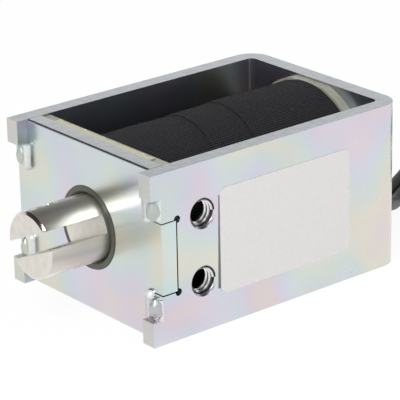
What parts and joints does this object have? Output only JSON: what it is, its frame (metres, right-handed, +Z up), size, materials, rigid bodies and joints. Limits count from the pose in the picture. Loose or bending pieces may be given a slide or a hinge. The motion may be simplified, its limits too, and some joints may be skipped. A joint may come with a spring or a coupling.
{
  "type": "push pull solenoid",
  "caption": "Open-frame push pull solenoid: bent zinc-plated steel frame with crimped front plate, taped coil, slotted round plunger and rear push rod, two flying leads.",
  "frame": {"origin": "centre of the solenoid's box, without its free leads, at the lower rims of the steel frame", "axes": "+X from the slotted plunger towards the push rod, +Y away from the side with the tapped holes and the label, +Z up out of the open top of the frame"},
  "size_m": [0.1214, 0.0379, 0.025],
  "materials": {
    "zinc_strip": "zinc plated and passivated, semi gloss",
    "zinc_plate": "zinc plated and passivated, semi gloss",
    "dark_tube": "dark passivated, satin",
    "nylon": "natural nylon, satin",
    "copper": "enamelled copper wire",
    "film": "thin polyester film",
    "cloth_tape": "woven cotton tape, matt",
    "bare_steel": "turned, plated",
    "grommet_rubber": "moulded, matt",
    "lead_pvc": "flexible PVC, satin",
    "solder": "tinned",
    "label_film": "printed paper label",
    "brass_washer": "plain",
    "nickel": "nickel plated, bright",
    "tie_nylon": "moulded nylon band",
    "rod_steel": "ground"
  },
  "bodies": {
    "housing": {"frame_strip": "zinc_strip", "front_plate": "zinc_plate", "guide_tube": "dark_tube", "bobbin": "nylon", "winding": "copper", "insulating_film": "film", "tape_wrap_front": "cloth_tape", "tape_wrap_middle": "cloth_tape", "tape_wrap_rear": "cloth_tape", "stop_pole": "bare_steel", "lead_grommet": "grommet_rubber", "lead_a_inner": "lead_pvc", "lead_b_inner": "lead_pvc", "solder_joint_a": "solder", "solder_joint_b": "solder", "label": "label_film", "lead_a": "lead_pvc", "lead_b": "lead_pvc", "lead_coil": "lead_pvc", "lead_tie": "tie_nylon", "lead_a_end": "lead_pvc", "lead_b_end": "lead_pvc", "lead_a_tip": "solder", "lead_b_tip": "solder"},
    "washer": {"gap_washer": "brass_washer"},
    "plunger": {"plunger": "nickel", "push_rod": "rod_steel"}
  },
  "joints": [
    {"name": "plunger_slide", "type": "slide", "parent": "housing", "child": "washer", "axis": [-1, 0, 0], "range_m": [0, 0.01]},
    {"name": "plunger_spin", "type": "hinge", "parent": "washer", "child": "plunger", "pos_m": [0, 0, 0.0125], "axis": [1, 0, 0], "continuous": true}
  ]
}
